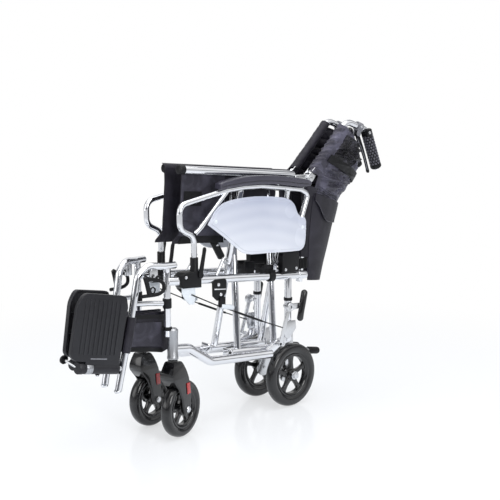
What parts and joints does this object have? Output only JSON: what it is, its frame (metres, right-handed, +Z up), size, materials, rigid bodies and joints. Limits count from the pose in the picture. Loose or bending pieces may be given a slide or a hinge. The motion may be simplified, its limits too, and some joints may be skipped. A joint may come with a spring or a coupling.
{
  "type": "wheelchair",
  "caption": "Attendant-pushed wheelchair folded sideways, with scissor cross brace, drop-down back, flip-up armrests, swing-away footrests and solid swivel casters.",
  "frame": {"origin": "on the floor below the middle of the folded chair's bounding box", "axes": "+Z up; the occupant faces -Y, and +X is the occupant's left"},
  "size_m": [0.197, 1.1408, 0.8012],
  "materials": {
    "chrome": "bright plated tube",
    "black_plastic": "satin moulded black",
    "pad_grey": "soft grained armrest skin",
    "guard_white": "translucent milky panel",
    "tyre_black": "dull solid tyre",
    "wheel_black": "moulded glossy black",
    "red_reflector": "prismatic red",
    "steel": "zinc plated",
    "black_cloth": "coated woven nylon",
    "cable_black": "coated wire",
    "lever_grey": "cast grey bracket"
  },
  "bodies": {
    "frame_left": {"side_frame_left": "chrome", "rail_cradle_left": "black_plastic", "cane_clamp_left": "black_plastic", "armrest_hinge_left": "black_plastic", "armrest_socket_left": "black_plastic", "tip_cap_left": "black_plastic", "brake_cable_left": "cable_black", "back_skirt": "black_cloth"},
    "brace_inner": {"brace_inner": "chrome"},
    "brace_outer": {"brace_outer": "chrome", "brace_stop": "black_plastic"},
    "frame_right": {"side_frame_right": "chrome", "rail_cradle_right": "black_plastic", "cane_clamp_right": "black_plastic", "armrest_hinge_right": "black_plastic", "armrest_socket_right": "black_plastic", "tip_cap_right": "black_plastic", "brake_cable_right": "cable_black"},
    "seat_left": {"seat_left": "black_cloth"},
    "seat_right": {"seat_right": "black_cloth"},
    "footrest_left": {"hanger_left": "chrome", "calf_strap": "black_cloth"},
    "footplate_left": {"footplate_left": "black_plastic"},
    "hanger_latch_left": {"hanger_latch_left": "black_plastic"},
    "caster_left": {"caster_fork_left": "black_plastic", "caster_reflector_left": "red_reflector", "caster_axle_left": "steel"},
    "caster_wheel_left": {"caster_tyre_left": "tyre_black", "caster_rim_left": "wheel_black"},
    "rear_wheel_left": {"rear_tyre_left": "tyre_black", "rear_rim_left": "wheel_black"},
    "parking_brake_left": {"parking_brake_left": "black_plastic"},
    "armrest_left": {"armrest_frame_left": "chrome", "armrest_pad_left": "pad_grey", "side_guard_left": "guard_white"},
    "armrest_lever_left": {"armrest_lever_left": "black_plastic"},
    "back_left": {"back_cane_left": "chrome", "grip_left": "black_plastic", "brake_bracket_left": "lever_grey", "back_upper": "black_cloth"},
    "brake_lever_left": {"brake_lever_left": "chrome"},
    "footrest_right": {"hanger_right": "chrome"},
    "footplate_right": {"footplate_right": "black_plastic"},
    "hanger_latch_right": {"hanger_latch_right": "black_plastic"},
    "caster_right": {"caster_fork_right": "black_plastic", "caster_reflector_right": "red_reflector", "caster_axle_right": "steel"},
    "caster_wheel_right": {"caster_tyre_right": "tyre_black", "caster_rim_right": "wheel_black"},
    "rear_wheel_right": {"rear_tyre_right": "tyre_black", "rear_rim_right": "wheel_black"},
    "parking_brake_right": {"parking_brake_right": "black_plastic"},
    "armrest_right": {"armrest_frame_right": "chrome", "armrest_pad_right": "pad_grey", "side_guard_right": "guard_white"},
    "armrest_lever_right": {"armrest_lever_right": "black_plastic"},
    "back_right": {"back_cane_right": "chrome", "grip_right": "black_plastic", "brake_bracket_right": "lever_grey"},
    "brake_lever_right": {"brake_lever_right": "chrome"}
  },
  "joints": [
    {"name": "fold", "type": "hinge", "parent": "frame_left", "child": "brace_inner", "pos_m": [0.0375, 0.06455, 0.176], "axis": [0, -0.9962, 0.0872], "range_deg": [0, 52.39], "deforming": ["back_skirt", "back_upper", "calf_strap"]},
    {"name": "brace_cross", "type": "hinge", "parent": "brace_inner", "child": "brace_outer", "pos_m": [0, 0.06455, 0.42055], "axis": [0, -0.9962, 0.0872], "range_deg": [-104.78, 0]},
    {"name": "frame_right_pivot", "type": "hinge", "parent": "brace_outer", "child": "frame_right", "pos_m": [-0.0375, 0.06455, 0.176], "axis": [0, -0.9962, 0.0872], "range_deg": [0, 52.39]},
    {"name": "seat_left_turn", "type": "hinge", "parent": "brace_outer", "child": "seat_left", "pos_m": [0.0375, 0.06455, 0.6651], "axis": [0, -0.9962, 0.0872], "range_deg": [-30.6, 0]},
    {"name": "seat_right_turn", "type": "hinge", "parent": "brace_inner", "child": "seat_right", "pos_m": [-0.0375, 0.06455, 0.6651], "axis": [0, -0.9962, 0.0872], "range_deg": [0, 30.6]},
    {"name": "footrest_swing_left", "type": "hinge", "parent": "frame_left", "child": "footrest_left", "pos_m": [0.06, -0.27945, 0.453], "axis": [0, 0, 1], "range_deg": [0, 90]},
    {"name": "footrest_latch_left", "type": "hinge", "parent": "footrest_left", "child": "hanger_latch_left", "pos_m": [0.0742, -0.31945, 0.428], "axis": [-1, 0, 0], "range_deg": [0, 20], "stiffness_Nm_per_rad": 0.05},
    {"name": "footplate_turn_left", "type": "hinge", "parent": "footrest_left", "child": "footplate_left", "pos_m": [0.052, -0.43245, 0.217], "axis": [0, -0.9816, 0.1908], "range_deg": [0, 89.99]},
    {"name": "caster_swivel_left", "type": "hinge", "parent": "frame_left", "child": "caster_left", "pos_m": [0.064, -0.26645, 0.25], "axis": [0, 0, 1], "range_deg": [-195, 20]},
    {"name": "caster_spin_left", "type": "hinge", "parent": "caster_left", "child": "caster_wheel_left", "pos_m": [0.05518, -0.23465, 0.075], "axis": [0.9636, 0.2672, 0], "continuous": true},
    {"name": "rear_wheel_spin_left", "type": "hinge", "parent": "frame_left", "child": "rear_wheel_left", "pos_m": [0.065, 0.16155, 0.09], "axis": [1, 0, 0], "continuous": true},
    {"name": "parking_brake_turn_left", "type": "hinge", "parent": "frame_left", "child": "parking_brake_left", "pos_m": [0.0785, 0.13855, 0.291], "axis": [1, 0, 0], "range_deg": [0, 22]},
    {"name": "armrest_flip_left", "type": "hinge", "parent": "frame_left", "child": "armrest_left", "pos_m": [0.067, 0.15255, 0.42], "axis": [-1, 0, 0], "range_deg": [0, 90]},
    {"name": "armrest_release_left", "type": "hinge", "parent": "frame_left", "child": "armrest_lever_left", "pos_m": [0.0782, -0.18545, 0.4205], "axis": [-1, 0, 0], "range_deg": [0, 20], "stiffness_Nm_per_rad": 0.05},
    {"name": "back_fold_left", "type": "hinge", "parent": "frame_left", "child": "back_left", "pos_m": [0.038, 0.25455, 0.64], "axis": [-1, 0, 0], "range_deg": [-39.6, 64]},
    {"name": "brake_squeeze_left", "type": "hinge", "parent": "back_left", "child": "brake_lever_left", "pos_m": [0.038, 0.46358, 0.75877], "axis": [1, 0, 0], "range_deg": [0, 8], "stiffness_Nm_per_rad": 0.2},
    {"name": "footrest_swing_right", "type": "hinge", "parent": "frame_right", "child": "footrest_right", "pos_m": [-0.06, -0.27945, 0.453], "axis": [0, 0, -1], "range_deg": [0, 105]},
    {"name": "footrest_latch_right", "type": "hinge", "parent": "footrest_right", "child": "hanger_latch_right", "pos_m": [-0.06336, -0.32176, 0.428], "axis": [-0.9659, -0.2588, 0], "range_deg": [0, 20], "stiffness_Nm_per_rad": 0.05},
    {"name": "footplate_turn_right", "type": "hinge", "parent": "footrest_right", "child": "footplate_right", "pos_m": [-0.01267, -0.42517, 0.217], "axis": [0.2541, -0.9482, 0.1908], "range_deg": [-89.99, 0]},
    {"name": "caster_swivel_right", "type": "hinge", "parent": "frame_right", "child": "caster_right", "pos_m": [-0.064, -0.26645, 0.25], "axis": [0, 0, -1], "range_deg": [-195, 20]},
    {"name": "caster_spin_right", "type": "hinge", "parent": "caster_right", "child": "caster_wheel_right", "pos_m": [-0.06859, -0.23377, 0.075], "axis": [0.9903, 0.1392, 0], "continuous": true},
    {"name": "rear_wheel_spin_right", "type": "hinge", "parent": "frame_right", "child": "rear_wheel_right", "pos_m": [-0.065, 0.16155, 0.09], "axis": [1, 0, 0], "continuous": true},
    {"name": "parking_brake_turn_right", "type": "hinge", "parent": "frame_right", "child": "parking_brake_right", "pos_m": [-0.0785, 0.13855, 0.291], "axis": [1, 0, 0], "range_deg": [0, 22]},
    {"name": "armrest_flip_right", "type": "hinge", "parent": "frame_right", "child": "armrest_right", "pos_m": [-0.067, 0.15255, 0.42], "axis": [-1, 0, 0], "range_deg": [0, 90]},
    {"name": "armrest_release_right", "type": "hinge", "parent": "frame_right", "child": "armrest_lever_right", "pos_m": [-0.0782, -0.18545, 0.4205], "axis": [-1, 0, 0], "range_deg": [0, 20], "stiffness_Nm_per_rad": 0.05},
    {"name": "back_fold_right", "type": "hinge", "parent": "frame_right", "child": "back_right", "pos_m": [-0.038, 0.25455, 0.64], "axis": [-1, 0, 0], "range_deg": [-39.6, 64]},
    {"name": "brake_squeeze_right", "type": "hinge", "parent": "back_right", "child": "brake_lever_right", "pos_m": [-0.038, 0.46358, 0.75877], "axis": [1, 0, 0], "range_deg": [0, 8], "stiffness_Nm_per_rad": 0.2}
  ],
  "couplings": [
    {"joint": "brace_cross", "follows": "fold", "ratio": -2},
    {"joint": "frame_right_pivot", "follows": "fold", "ratio": 1},
    {"joint": "seat_left_turn", "follows": "fold", "ratio": -0.5841},
    {"joint": "seat_right_turn", "follows": "fold", "ratio": 0.5841},
    {"joint": "footplate_turn_left", "follows": "fold", "ratio": 1.7177},
    {"joint": "footplate_turn_right", "follows": "fold", "ratio": -1.7177},
    {"joint": "back_fold_right", "follows": "back_fold_left", "ratio": 1}
  ]
}
